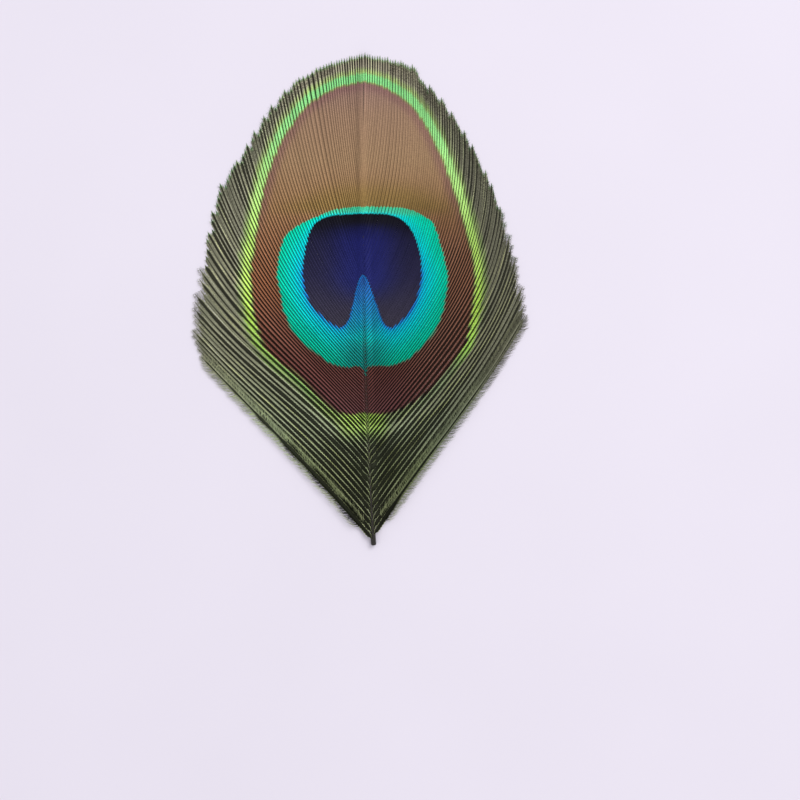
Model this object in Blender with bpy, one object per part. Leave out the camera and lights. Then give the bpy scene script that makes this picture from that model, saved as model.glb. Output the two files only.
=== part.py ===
"""Trimmed peacock eye feather, lying face up.

Built in metres with +Z up. The cut end of the shaft points to -Y and the crown of the vane to +Y. The origin is
the centre of the bounding box on the surface that the feather lies on.

The feather is one grown, branching thing, so it has a node for each of its main forks: the shaft and the vane on
either side of it. Each vane is a thin arched sheet that runs along its barbs, from the shaft to the barb tips.
"""

import math

import bmesh
import bpy
from mathutils import Vector
from mathutils.geometry import interpolate_bezier

MM = 0.001
GAP = 0.3 * MM

# Shaft, measured along Y from its cut end.
SHAFT_LENGTH = 79.5 * MM
SHAFT_BASE_WIDTH = 0.95 * MM
SHAFT_TIP_WIDTH = 0.16 * MM
SHAFT_BASE_DEPTH = 1.1 * MM
SHAFT_TIP_DEPTH = 0.2 * MM
SHAFT_TOP_AT_BASE = 1.1 * MM
SHAFT_SWEEP = 1.75 * MM
SHAFT_STRAIGHT_FROM = 45 * MM
SHAFT_CUT_SLANT = 0.35 * MM
SHAFT_FLAT_AT = 0.6
SHAFT_STATIONS = 40
SHAFT_SIDES = 12

# Vanes. A barb leaves the shaft at its root and ends at its tip on the outline.
VANE_THICKNESS = 0.45 * MM
ARCH_HEIGHT = 0.55 * MM
MARGIN_STARTS = 0.86
ARCH_POWER = 1.7
BARB_HANDLE = 0.36
VANE_ROWS = 46
VANE_COLUMNS = 12

# Guide barbs from the crown down to the cut end: height of the root on the shaft, place of the tip outward from
# the shaft's straight line and up from the cut end (mm), and the lean away from the shaft at root and tip (degrees).
LEFT_GUIDES = (
    (58.0, 0.5, 84.2, 2, 2),
    (49.7, 5.3, 82.9, 17, 7),
    (43.5, 11.3, 80.2, 29, 11),
    (37.3, 16.2, 75.5, 39, 11),
    (31.1, 20.6, 68.6, 44, 14),
    (24.9, 25.2, 61.2, 45, 21),
    (18.7, 27.6, 50.7, 41, 30),
    (12.6, 29.2, 43.0, 38, 37),
    (6.4, 29.7, 37.8, 38, 41),
    (0.9, 28.9, 33.3, 40, 43),
)
RIGHT_GUIDES = (
    (58.0, 0.5, 84.3, 2, -2),
    (49.7, 4.7, 83.4, 22, -2),
    (43.5, 7.8, 82.4, 34, -2),
    (37.3, 11.1, 80.0, 40, -3),
    (31.1, 15.4, 74.5, 42, -4),
    (24.9, 19.9, 66.9, 41, -2),
    (18.7, 23.3, 59.3, 38, 3),
    (12.6, 25.6, 52.1, 35, 10),
    (6.4, 27.2, 45.9, 33, 20),
    (0.9, 28.8, 39.7, 33, 30),
)


def smooth_value(values, place):
    """Value at place, 0 to 1, on a smooth curve through evenly spaced values."""
    last = len(values) - 1
    at = min(max(place, 0.0), 1.0) * last
    i = min(int(at), last - 1)
    f = at - i
    here, after = values[i], values[i + 1]
    before = values[i - 1] if i > 0 else 2 * here - after
    beyond = values[i + 2] if i + 2 <= last else 2 * after - here
    bend = 2 * before - 5 * here + 4 * after - beyond
    twist = 3 * here - before - 3 * after + beyond
    return 0.5 * (2 * here + (after - before) * f + bend * f**2 + twist * f**3)


def shaft_x(y):
    """Sideways place of the shaft's centre line: straight in the eye, swept to +X towards the cut end."""
    return SHAFT_SWEEP * max(0.0, 1 - y / SHAFT_STRAIGHT_FROM) ** 1.5


def shaft_size(y):
    """Width and depth of the shaft at y."""
    left = max(0.0, 1 - y / SHAFT_LENGTH) ** 1.25
    width = SHAFT_TIP_WIDTH + (SHAFT_BASE_WIDTH - SHAFT_TIP_WIDTH) * left
    depth = SHAFT_TIP_DEPTH + (SHAFT_BASE_DEPTH - SHAFT_TIP_DEPTH) * left
    return width, depth


def arch(t):
    """Height of the vane's middle plane at t along a barb: highest at the shaft, flat on the margin."""
    fall = min(t / MARGIN_STARTS, 1.0) ** ARCH_POWER
    return VANE_THICKNESS / 2 + ARCH_HEIGHT * (1 - fall)


def shaft_top(y):
    """Height of the shaft's upper ridge: it keeps just above the vane beside it."""
    crown_root = LEFT_GUIDES[0][0] * MM
    crown_tip = LEFT_GUIDES[0][2] * MM
    t = max(0.0, (y - crown_root) / (crown_tip - crown_root))
    beside = arch(t) + VANE_THICKNESS / 2
    lift = SHAFT_TOP_AT_BASE - arch(0) - VANE_THICKNESS / 2
    return beside + lift * (1 - y / SHAFT_LENGTH)


def barb_line(guides, side, p):
    """Points of the barb at p, 0 at the crown and 1 at the cut end, from root to tip, all at zero height."""
    root_y, tip_x, tip_y, root_lean, tip_lean = (smooth_value(column, p) for column in zip(*guides))
    root_y *= MM
    width, _ = shaft_size(root_y)
    root = Vector((shaft_x(root_y) + side * (width / 2 + GAP), root_y, 0))
    tip = Vector((side * tip_x * MM, tip_y * MM, 0))
    reach = (tip - root).length * BARB_HANDLE
    leave, arrive = math.radians(root_lean), math.radians(tip_lean)
    root_handle = root + Vector((side * math.sin(leave), math.cos(leave), 0)) * reach
    tip_handle = tip - Vector((side * math.sin(arrive), math.cos(arrive), 0)) * reach
    return interpolate_bezier(root, root_handle, tip_handle, tip, VANE_COLUMNS + 1)


def vane_mesh(name, guides, side):
    """A closed sheet between the first and the last barb, arched in section, with its margin flat."""
    bm = bmesh.new()
    sheets = []
    for face in (1, -1):
        rows = []
        for row in range(VANE_ROWS + 1):
            line = barb_line(guides, side, row / VANE_ROWS)
            heights = [arch(i / VANE_COLUMNS) + face * VANE_THICKNESS / 2 for i in range(VANE_COLUMNS + 1)]
            rows.append([bm.verts.new((v.x, v.y, z)) for v, z in zip(line, heights)])
        sheets.append(rows)
    for rows in sheets:
        for first, second in zip(rows, rows[1:]):
            for i in range(VANE_COLUMNS):
                bm.faces.new((first[i], first[i + 1], second[i + 1], second[i]))
    top, bottom = sheets
    rim_top = outline_loop(top)
    rim_bottom = outline_loop(bottom)
    for i, vert in enumerate(rim_top):
        bm.faces.new((rim_top[i - 1], vert, rim_bottom[i], rim_bottom[i - 1]))
    return finish_mesh(bm, name)


def outline_loop(rows):
    """The vertices round the edge of a grid, once round."""
    outer = [row[-1] for row in rows[1:-1]]
    inner = [row[0] for row in reversed(rows[1:-1])]
    return list(rows[0]) + outer + list(reversed(rows[-1])) + inner


def shaft_mesh(name):
    """The tapering shaft: an oval with a flat underside, cut off a little on the slant at its base."""
    bm = bmesh.new()
    rings = []
    for station in range(SHAFT_STATIONS + 1):
        y = SHAFT_LENGTH * (station / SHAFT_STATIONS) ** 1.15
        width, depth = shaft_size(y)
        top = shaft_top(y)
        ring = []
        for k in range(SHAFT_SIDES):
            turn = 2 * math.pi * (k + 0.5) / SHAFT_SIDES
            rise = (max(math.sin(turn), -SHAFT_FLAT_AT) + SHAFT_FLAT_AT) / (1 + SHAFT_FLAT_AT)
            slant = SHAFT_CUT_SLANT * (1 - rise) if station == 0 else 0.0
            place = (shaft_x(y) + math.cos(turn) * width / 2, y + slant, top - depth * (1 - rise))
            ring.append(bm.verts.new(place))
        rings.append(ring)
    for lower, upper in zip(rings, rings[1:]):
        for k in range(SHAFT_SIDES):
            bm.faces.new((lower[k - 1], lower[k], upper[k], upper[k - 1]))
    bm.faces.new(rings[0])
    bm.faces.new(rings[-1])
    return finish_mesh(bm, name)


def finish_mesh(bm, name):
    """Turns the faces outward, writes the mesh and clears the working copy."""
    bmesh.ops.recalc_face_normals(bm, faces=bm.faces)
    bmesh.ops.triangulate(bm, faces=bm.faces)
    mesh = bpy.data.meshes.new(name)
    bm.to_mesh(mesh)
    bm.free()
    return mesh


def keratin(name, colour, roughness, metallic):
    """A Principled material."""
    material = bpy.data.materials.new(name)
    material.use_nodes = True
    shader = material.node_tree.nodes["Principled BSDF"]
    shader.inputs["Base Color"].default_value = (*colour, 1)
    shader.inputs["Roughness"].default_value = roughness
    shader.inputs["Metallic"].default_value = metallic
    return material


def add_piece(mesh, material):
    """Puts a mesh in the scene as an object of the same name, shaded smooth with sharp rims."""
    mesh.materials.append(material)
    mesh.shade_smooth()
    mesh.set_sharp_from_angle(angle=math.radians(40))
    piece = bpy.data.objects.new(mesh.name, mesh)
    bpy.context.scene.collection.objects.link(piece)
    return piece


def centre_on_surface(meshes):
    """Moves all the meshes together so that the middle of their box, at its underside, is the origin."""
    points = [vert.co for mesh in meshes for vert in mesh.vertices]
    lows = [min(point[axis] for point in points) for axis in range(3)]
    highs = [max(point[axis] for point in points) for axis in range(3)]
    shift = Vector(((lows[0] + highs[0]) / 2, (lows[1] + highs[1]) / 2, lows[2]))
    for mesh in meshes:
        for vert in mesh.vertices:
            vert.co -= shift


def main():
    for thing in list(bpy.data.objects):
        bpy.data.objects.remove(thing)
    shaft_finish = keratin("shaft_keratin", (0.16, 0.12, 0.07), 0.45, 0.0)
    vane_finish = keratin("vane_barbs", (0.05, 0.16, 0.11), 0.4, 0.3)
    shaft = shaft_mesh("shaft")
    left = vane_mesh("vane_left", LEFT_GUIDES, -1)
    right = vane_mesh("vane_right", RIGHT_GUIDES, 1)
    centre_on_surface([shaft, left, right])
    add_piece(shaft, shaft_finish)
    add_piece(left, vane_finish)
    add_piece(right, vane_finish)


main()
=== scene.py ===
"""Looks of a trimmed peacock eye feather that lies face up on a pale board.

Every barb is a closed shell of its own: a ribbon with its ramus in a shallow groove and its web on either
side. Free barbules stand out past the webs of the loose barbs and of the margin. The colour zones are
distances from a few outlines, measured along the middle of each barb, so that a zone ends on a different
place of each barb, as it does on the bird. Lengths are in mm until a mesh is written, and the feather's own
axes start at the cut end of the shaft, with +Y to the crown.
"""

import logging
import math
from dataclasses import dataclass, field, fields
from enum import Enum

import bpy
import numpy as np
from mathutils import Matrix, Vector


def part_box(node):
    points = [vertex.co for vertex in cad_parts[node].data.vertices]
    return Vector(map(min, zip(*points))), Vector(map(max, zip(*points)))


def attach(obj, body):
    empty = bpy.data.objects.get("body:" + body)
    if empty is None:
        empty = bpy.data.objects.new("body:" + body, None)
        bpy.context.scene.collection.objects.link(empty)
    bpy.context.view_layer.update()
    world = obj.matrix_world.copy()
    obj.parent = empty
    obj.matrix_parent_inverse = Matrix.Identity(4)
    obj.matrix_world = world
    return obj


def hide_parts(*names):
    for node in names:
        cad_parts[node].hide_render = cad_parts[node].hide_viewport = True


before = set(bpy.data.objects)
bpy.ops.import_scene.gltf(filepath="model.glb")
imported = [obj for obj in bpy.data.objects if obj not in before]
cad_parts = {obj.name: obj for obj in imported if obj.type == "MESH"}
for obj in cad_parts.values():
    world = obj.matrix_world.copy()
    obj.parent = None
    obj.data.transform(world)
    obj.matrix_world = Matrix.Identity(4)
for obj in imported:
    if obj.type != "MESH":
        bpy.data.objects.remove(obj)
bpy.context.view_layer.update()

Array = np.ndarray
Values = dict[str, Array]
MM = 0.001
LOG = logging.getLogger("feather")


class Side(Enum):
    """The two vanes, by the direction in which they leave the shaft."""

    LEFT = -1
    RIGHT = 1


class Fibres(Enum):
    """What the fibres of a piece are, as the piece's name says it."""

    EYE_BARBS = "eye_barbs"
    LOOSE_BARBS = "loose_barbs"
    LOOSE_BARBULES = "loose_barbules"
    FRINGE_BARBULES = "fringe_barbules"


@dataclass(frozen=True)
class Fade:
    """A share that eases from 0 to 1 between two values. It falls where the second value is the smaller.

    Attributes:
        start: Where the share is 0.
        full: Where it is 1.
    """

    start: float
    full: float

    def __call__(self, value: Array) -> Array:
        """The share at each value."""
        share = np.clip((value - self.start) / (self.full - self.start), 0, 1)
        return share * share * (3 - 2 * share)


@dataclass(frozen=True)
class Course:
    """A value that runs straight from stop to stop.

    Attributes:
        stops: Places in mm, each with the value there.
    """

    stops: tuple[tuple[float, float], ...]

    def __call__(self, place: Array) -> Array:
        """The value at each place."""
        places, values = zip(*self.stops)
        return np.interp(place, places, values)


def blend(one: Array | float, other: Array | float, share: Array) -> Array:
    """The value that lies this share of the way from one to the other."""
    return one + (other - one) * share


def linear(code: str) -> tuple[float, float, float, float]:
    """Turns an sRGB hex colour into a linear one.

    Args:
        code: Six hex digits.

    Returns:
        Red, green, blue and an alpha of 1.
    """
    shares = [int(code[i : i + 2], 16) / 255 for i in (0, 2, 4)]
    values = [s / 12.92 if s <= 0.04045 else ((s + 0.055) / 1.055) ** 2.4 for s in shares]
    return (values[0], values[1], values[2], 1.0)


def smooth_run(before: Array, here: Array, after: Array, beyond: Array, share: Array) -> Array:
    """Points of a smooth curve between two knots.

    Args:
        before: The knot before the two.
        here: The first of the two.
        after: The second of the two.
        beyond: The knot after the two.
        share: How far from the first to the second.

    Returns:
        One point for each share.
    """
    bend = 2 * before - 5 * here + 4 * after - beyond
    twist = 3 * here - before - 3 * after + beyond
    return 0.5 * (2 * here + (after - before) * share + bend * share**2 + twist * share**3)


def spline(values: Array, place: Array) -> Array:
    """Reads a smooth curve through evenly spaced rows of values.

    Args:
        values: One row for each knot.
        place: Where to read, 0 at the first row and 1 at the last.

    Returns:
        One row of values for each place.
    """
    padded = np.vstack([2 * values[0] - values[1], values, 2 * values[-1] - values[-2]])
    at = np.clip(place, 0, 1) * (len(values) - 1)
    knot = np.minimum(at.astype(int), len(values) - 2)
    return smooth_run(*(padded[knot + k] for k in range(4)), (at - knot)[:, None])


# ---- Shaft and markings ----


@dataclass
class Shaft:
    """The rachis. Its solid comes with the frame, and gives the place of everything else.

    Attributes:
        sweep: How far the cut end is swept to the right.
        straight_from: Height above which the shaft is straight.
        sweep_power: How sharply the sweep sets in.
        tip_slice: Length at the tip over which the midline is found.
        slices: How many slices give the height of the ridge.
        past_tip: How far the last slice goes past the tip.
        base_y: The cut end's y in the frame.
        midline: The straight line's x in the frame.
        section_y: Heights of the slices.
        section_top: The ridge's z in each slice.
    """

    sweep: float = 1.75
    straight_from: float = 45.0
    sweep_power: float = 1.5
    tip_slice: float = 0.3
    slices: int = 40
    past_tip: float = 0.001
    base_y: float = field(init=False)
    midline: float = field(init=False)
    section_y: Array = field(init=False)
    section_top: Array = field(init=False)

    def __post_init__(self) -> None:
        """Reads the shaft's place and the height of its ridge from the frame."""
        low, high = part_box("shaft")
        points = np.array([v.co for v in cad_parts["shaft"].data.vertices]) / MM
        self.base_y = low.y / MM
        self.midline = float(points[points[:, 1] > high.y / MM - self.tip_slice, 0].mean())
        heights = points[:, 1] - self.base_y
        edges = np.linspace(0, heights.max() + self.past_tip, self.slices + 1)
        slices = [(heights >= a) & (heights < b) for a, b in zip(edges, edges[1:])]
        filled = [inside for inside in slices if inside.any()]
        self.section_y = np.array([heights[inside].mean() for inside in filled])
        self.section_top = np.array([points[inside, 2].max() for inside in filled])

    def dress(self, finish: bpy.types.Material) -> None:
        """Gives the frame's own shaft a better material in its slot.

        Args:
            finish: The material.
        """
        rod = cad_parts["shaft"]
        rod.data.materials.clear()
        rod.data.materials.append(finish)
        LOG.info("shaft: the frame's solid, %d faces", len(rod.data.polygons))

    def top(self, y: Array) -> Array:
        """Height of the shaft's ridge at y."""
        return np.interp(y, self.section_y, self.section_top)

    def centre_x(self, y: Array) -> Array:
        """Sideways place of the centre line at y."""
        return self.sweep * np.clip(1 - y / self.straight_from, 0, None) ** self.sweep_power

    def to_frame(self, points: Array) -> Array:
        """Moves points from the feather's own axes to the frame's."""
        return points + np.array([self.midline, self.base_y, 0.0])


@dataclass(frozen=True)
class Outline:
    """A closed, smooth line on the feather.

    Attributes:
        knots: The few points that it goes through.
        steps: How many short straight runs stand for the curve between two knots.
    """

    knots: tuple[tuple[float, float], ...]
    steps: int = 10

    def line(self) -> Array:
        """Points close together all round the outline.

        Returns:
            One row of x and y for each point.
        """
        knots = np.array(self.knots)
        ring = np.vstack([knots[-1], knots, knots[0], knots[1]])
        share = (np.arange(self.steps) / self.steps)[:, None]
        return np.vstack([smooth_run(*four, share) for four in zip(ring, ring[1:], ring[2:], ring[3:])])

    def depth(self, points: Array) -> Array:
        """How far points lie inside the outline, below zero where they are outside.

        Args:
            points: An array of x and y.

        Returns:
            One distance for each point.
        """
        start = self.line()
        end = np.roll(start, -1, axis=0)
        run = end - start
        offset = points[:, None, :] - start[None]
        share = np.clip((offset * run).sum(-1) / (run**2).sum(-1), 0, 1)
        distance = np.linalg.norm(offset - share[..., None] * run, axis=-1).min(axis=1)
        x, y = points[:, None, 0], points[:, None, 1]
        spans = (start[:, 1] > y) != (end[:, 1] > y)
        rise = np.where(run[:, 1] == 0, np.finfo(float).eps, run[:, 1])
        left_of = x < start[:, 0] + (y - start[:, 1]) * run[:, 0] / rise
        inside = (spans & left_of).sum(axis=1) % 2 == 1
        return np.where(inside, distance, -distance)


@dataclass
class Spots:
    """Where every station of some barbs lies among the markings. Arrays are barb and station.

    Attributes:
        x: Distance to the right of the shaft's straight line.
        y: Height from the cut end.
        reach: Distance from the barb's root.
        left: Distance from the barb's tip.
        heart: Depth inside the heart, below zero outside it.
        disc: Depth inside the disc.
        bronze: Depth inside the bronze field.
        seed: A number from 0 to 1 for each barb.
        own_turns: What the seed is multiplied by to give a second number that looks unrelated to it.
        wave_rate: Least and greatest turn of the wave, in radians for each mm.
        wave_start: How far apart the waves of the barbs may start, in radians.
    """

    x: Array
    y: Array
    reach: Array
    left: Array
    heart: Array
    disc: Array
    bronze: Array
    seed: Array
    own_turns: float = 7.13
    wave_rate: tuple[float, float] = (0.5, 1.0)
    wave_start: float = 20.0

    def aside(self) -> Array:
        """Distance from the shaft's straight line, to either side."""
        return np.abs(self.x)

    def other(self, turns: float) -> Array:
        """Another number from 0 to 1 for each barb, worked out from its seed."""
        return np.modf(self.seed * turns)[0]

    def own(self) -> Array:
        """The barb's second number, which most of its unevenness comes from."""
        return self.other(self.own_turns)

    def wave(self) -> Array:
        """A slow wave along each barb, from -1 to 1, of a length of its own."""
        return np.sin(self.reach * blend(*self.wave_rate, self.own()) + self.own() * self.wave_start)


@dataclass(frozen=True)
class DarkLines:
    """The dark line that each ramus draws between its webs. Its width is a share of half the barb's width.

    Attributes:
        ring_width: The width in the green ring, by height.
        margin_width: The width in the margin, by reach.
        margin_least: The width just outside the ring.
        margin_from: Where the margin's own width takes over, by distance outside the bronze.
        crown: Where the lines thin at the crown, by height.
        crown_thins: How much they thin there.
        bronze_width: The width inside the ring, by height.
        uneven_reach: Where the widths grow more uneven from barb to barb, by reach.
        uneven: How uneven they are near the shaft and how much more far from it.
        uneven_wave: How uneven they are along a barb.
        uneven_height: Where in the margin they are uneven, by height.
        seam: Where the line is lost beside the shaft: distance aside, height and share.
        right_side: Painted shade on the right of the bronze, where the lines are wider: x, height and how
            much.
        margin_value: How light the line is in the margin, by reach.
        bronze_value: How light it is in the bronze, by height.
        disc_value: How light it is in the disc, by height.
        in_disc: Where the disc's value takes over, by depth in it.
        heart_value: How light it is in the heart.
    """

    ring_width: Course = Course(((24, 0.68), (36, 0.4), (50, 0.36), (64, 0.26)))
    margin_width: Course = Course(((4, 0.86), (20, 0.66), (38, 0.4)))
    margin_least: float = 0.4
    margin_from: Fade = Fade(0.8, 5.0)
    crown: Fade = Fade(76, 81)
    crown_thins: float = 0.1
    bronze_width: Course = Course(((30, 0.54), (50, 0.42), (66, 0.26)))
    uneven_reach: Fade = Fade(5, 20)
    uneven: tuple[float, float] = (0.2, 0.3)
    uneven_wave: float = 0.08
    uneven_height: Fade = Fade(80, 66)
    seam: tuple[Fade, Fade, float] = (Fade(0.9, 0.2), Fade(52, 58), 0.8)
    # Painted shade on the right of the bronze.
    right_side: tuple[Fade, Fade, float] = (Fade(3, 15), Fade(66, 56), 0.16)
    margin_value: Course = Course(((4, 0.03), (24, 0.05), (40, 0.09)))
    bronze_value: Course = Course(((30, 0.05), (50, 0.06), (60, 0.38), (72, 0.5)))
    disc_value: Course = Course(((34, 0.16), (44, 0.27)))
    in_disc: Fade = Fade(0.0, 0.3)
    heart_value: float = 0.6

    def width(self, spots: Spots, fringe: Array, ring: Array, in_bronze: Array) -> Array:
        """How wide the dark lines are.

        Args:
            spots: Where the barbs lie.
            fringe: Share of the margin.
            ring: Share of the green ring and what is inside it.
            in_bronze: Share of the bronze field.

        Returns:
            Shares of half the barb's width.
        """
        near, more = self.uneven
        uneven = (near + more * self.uneven_reach(spots.reach)) * (spots.own() - 0.5)
        uneven = uneven + self.uneven_wave * spots.wave()
        outside = blend(self.margin_least, self.margin_width(spots.reach), self.margin_from(-spots.bronze))
        outside = outside - self.crown_thins * self.crown(spots.y)
        outside = outside + fringe * uneven * self.uneven_height(spots.y)
        beside, above, lost = self.seam
        inside = self.bronze_width(spots.y) * (1 - lost * beside(spots.aside()) * above(spots.y))
        # Painted shade: the dark lines are wider in the bronze on the right.
        rightward, below, wider = self.right_side
        inside = inside + wider * rightward(spots.x) * below(spots.y) * (spots.disc < 0)
        in_ring = self.ring_width(spots.y)
        return outside + (in_ring - outside) * ring + (inside - in_ring) * in_bronze

    def value(self, spots: Spots, in_bronze: Array, in_heart: Array) -> Array:
        """How light the dark lines are, as shares of the colour beside them."""
        inside = blend(self.bronze_value(spots.y), self.disc_value(spots.y), self.in_disc(spots.disc))
        return blend(blend(self.margin_value(spots.reach), inside, in_bronze), self.heart_value, in_heart)


@dataclass(frozen=True)
class Markings:
    """The eye's colour zones: a dark heart in a teal disc, in a bronze field with a green rim.

    The three outlines come first. A Fade's numbers are depths in an outline, heights or distances aside, as
    the comment above it says.
    """

    heart: Outline = Outline((
        (0.4, 57.0), (4.9, 56.7), (7.8, 54.9), (9.5, 51.4), (10.1, 47.0), (9.5, 43.0), (7.8, 39.6),
        (4.9, 37.2), (3.2, 38.4), (2.1, 41.3), (-0.1, 46.2), (-1.7, 41.3), (-2.5, 38.4), (-4.2, 37.2),
        (-7.0, 39.0), (-9.4, 41.8), (-10.5, 45.8), (-10.2, 50.4), (-8.8, 54.7), (-5.9, 56.5),
    ))
    disc: Outline = Outline((
        (0.4, 58.1), (7.1, 57.8), (10.6, 56.4), (12.3, 54.7), (13.8, 49.9), (14.6, 45.8), (14.0, 41.3),
        (12.3, 36.6), (8.3, 32.3), (4.9, 30.7), (1.1, 30.6), (0.35, 28.6), (-0.4, 30.5), (-4.2, 30.5),
        (-8.7, 33.2), (-12.8, 37.8), (-14.4, 43.0), (-14.9, 47.0), (-14.2, 51.3), (-12.8, 53.8),
        (-9.4, 55.8), (-4.7, 57.6),
    ))
    bronze: Outline = Outline((
        (-0.3, 79.5), (5.5, 77.7), (10.1, 73.1), (14.0, 65.2), (17.5, 54.9), (19.2, 45.8), (18.1, 36.6),
        (15.7, 31.5), (10.6, 25.8), (4.9, 22.5), (0.4, 22.4), (-4.2, 22.5), (-10.7, 28.4), (-17.3, 34.6),
        (-19.4, 44.0), (-18.7, 52.6), (-16.4, 64.0), (-12.1, 72.6), (-7.0, 77.4),
    ))
    dark_lines: DarkLines = DarkLines()

    # How far an edge steps in or out from barb to barb.
    heart_step: float = 0.07
    disc_step: float = 0.09
    bronze_step: float = 0.15

    # What counts as inside, by depth in the outline.
    fringe: Fade = Fade(0.2, -0.4)
    ring: Fade = Fade(-2.2, -1.2)
    in_bronze: Fade = Fade(-0.2, 0.4)
    in_disc: Fade = Fade(0.0, 0.1)
    out_of_heart: Fade = Fade(0.05, -0.15)
    in_heart: Fade = Fade(0.0, 0.5)

    # The green rim, by depth in the bronze. Low down it thins by a first share, by height, and on the right
    # by a second one, by height and x. Higher up, by height, some barbs have less of it.
    rim_outer: Fade = Fade(-2.0, -0.9)
    rim_inner: Fade = Fade(0.1, -0.3)
    rim_thins: tuple[Fade, float] = (Fade(36, 30), 0.25)
    rim_thins_right: tuple[Fade, Fade, float] = (Fade(34, 28), Fade(0, 6), 0.5)
    rim_uneven: tuple[Fade, float] = (Fade(70, 50), 0.35)

    # The yellow-green glow outside the rim: by depth in the bronze, by height, and on the lower left by x.
    halo_outer: Fade = Fade(-3.0, -1.5)
    halo_upper: Fade = Fade(34, 44)
    halo_lower_left: tuple[Fade, float] = (Fade(2, -6), 0.6)
    halo_uneven: float = 0.2

    # The green chevrons below the eye: by height at their top and their foot, and by distance aside.
    chevron_top: Fade = Fade(23.5, 22.0)
    chevron_foot: Fade = Fade(15.0, 21.0)
    chevron_aside: Fade = Fade(6.5, 2.0)
    chevron_most: float = 0.85

    # The bronze field's plum by depth and height, olive by depth in the disc and height, and a painted
    # highlight, paler on the right by x, height and depth in the disc.
    plum_edge: Fade = Fade(2.6, 0.2)
    plum_upper: Fade = Fade(48, 62)
    olive_near: Fade = Fade(-7.0, -0.3)
    olive_above: Fade = Fade(55.5, 58.5)
    glint_right: Fade = Fade(3, 15)
    painted_glint_below: Fade = Fade(58, 48)
    painted_glint_outside: Fade = Fade(0.3, 0.0)

    # The disc: how much less of its inner blue it shows high up, and the deeper blue of the wedge and beside
    # the shaft, by distance aside and height.
    blue_fades: tuple[Fade, float] = (Fade(46, 54), 0.3)
    wedge_aside: Fade = Fade(5.2, 1.5)
    wedge_foot: Fade = Fade(30, 42)
    wedge_point: Fade = Fade(50, 47)
    shaft_aside: Fade = Fade(8.0, 0.5)
    shaft_below: Fade = Fade(39, 33)
    shaft_most: float = 0.75
    top_rim_above: Fade = Fade(56.0, 57.4)

    # The violet glow in the heart: its half width, and its foot and top by height.
    glow_half: float = 5.6
    glow_foot: Fade = Fade(39.0, 46.5)
    glow_top: Fade = Fade(56.2, 53.6)
    glow_inside: Fade = Fade(0.0, 0.4)

    # The margin: painted shade, darker on the right by x, green at the barbs' tips by distance left and
    # height, and a painted highlight, paler edges on some barbs by a number of their own. Shades differ from
    # barb to barb and along a barb.
    dull_right: Fade = Fade(2, 17)
    painted_shade_outside: Fade = Fade(0.0, -0.5)
    dull_spares_rim: float = 0.95
    tip_left: Fade = Fade(1.6, 0.3)
    tip_above: Fade = Fade(40, 60)
    pale_turns: float = 17.7
    pale_barbs: Fade = Fade(0.3, 0.7)
    painted_highlight_wave: float = 0.35
    shade_spares_rim: float = 0.6
    shade_own: float = 0.5
    shade_wave: float = 0.12

    def spots(self, lines: "BarbLines") -> Spots:
        """Places barbs among the outlines.

        Args:
            lines: The barbs.

        Returns:
            Where every station lies.
        """
        points = lines.middle.reshape(-1, 3)[:, :2]
        shape = lines.reach.shape
        seed = lines.seed[:, None]
        steps = ((self.heart, self.heart_step), (self.disc, self.disc_step), (self.bronze, self.bronze_step))
        depths = [outline.depth(points).reshape(shape) + (seed - 0.5) * 2 * step for outline, step in steps]
        return Spots(*points.T.reshape(2, *shape), lines.reach, lines.left(), *depths, seed)

    def rim(self, spots: Spots) -> Array:
        """Share of the green rim.

        Args:
            spots: Where the barbs lie.

        Returns:
            Shares from 0 to 1.
        """
        low, thins = self.rim_thins
        low_right, right, thins_right = self.rim_thins_right
        rim = self.rim_outer(spots.bronze) * self.rim_inner(spots.bronze) * (1 - thins * low(spots.y))
        return rim * (1 - thins_right * low_right(spots.y) * right(spots.x))

    def green(self, spots: Spots) -> Values:
        """The greens round the eye and below it, as shares from 0 to 1.

        Args:
            spots: Where the barbs lie.

        Returns:
            The rim with the chevrons, the glow outside it and the barbs' green tips.
        """
        x, y = spots.x, spots.y
        chevrons = self.chevron_most * self.chevron_top(y) * self.chevron_foot(y)
        chevrons = chevrons * self.chevron_aside(spots.aside())
        upper, uneven = self.rim_uneven
        leftward, less = self.halo_lower_left
        halo = self.halo_outer(spots.bronze) * blend(less * leftward(x), 1, self.halo_upper(y))
        return {
            "lime": np.maximum(self.rim(spots) * (1 - uneven * spots.seed * upper(y)), chevrons),
            "halo": halo * (1 - self.halo_uneven + self.halo_uneven * spots.wave()),
            "edge": self.tip_left(spots.left) * self.tip_above(y),
        }

    def eye(self, spots: Spots) -> Values:
        """What lies inside the rim, as shares from 0 to 1.

        Args:
            spots: Where the barbs lie.

        Returns:
            How blue the disc is, its deep blue and top, the heart's glow, the bronze's shades, a painted
            highlight.
        """
        x, y, aside = spots.x, spots.y, spots.aside()
        in_bronze = self.in_bronze(spots.bronze)
        in_disc = self.in_disc(spots.disc) * self.out_of_heart(spots.heart)
        from_edge, from_heart = np.clip(spots.disc, 0, None), np.clip(-spots.heart, 0, None)
        high, fades = self.blue_fades
        wedge = self.wedge_aside(aside) * self.wedge_foot(y) * self.wedge_point(y)
        by_shaft = self.shaft_aside(aside) * self.shaft_below(y) * self.shaft_most
        glow = np.exp(-((x / self.glow_half) ** 2)) * self.glow_foot(y) * self.glow_top(y)
        return {
            "disc_share": from_edge / (from_edge + from_heart + np.finfo(float).eps) * (1 - fades * high(y)),
            "deep": np.maximum(wedge, by_shaft) * in_disc,
            "top_rim": self.top_rim_above(y) * in_disc,
            "glow": glow * self.glow_inside(spots.heart),
            "plum": self.plum_edge(spots.bronze) * self.plum_upper(y) * in_bronze,
            "olive": self.olive_near(spots.disc) * self.olive_above(y) * in_bronze,
            # Painted highlight: a paler patch in the bronze on the right.
            "glint": self.glint_right(x) * self.painted_glint_below(y) * self.painted_glint_outside(spots.disc) * in_bronze,
        }

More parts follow.
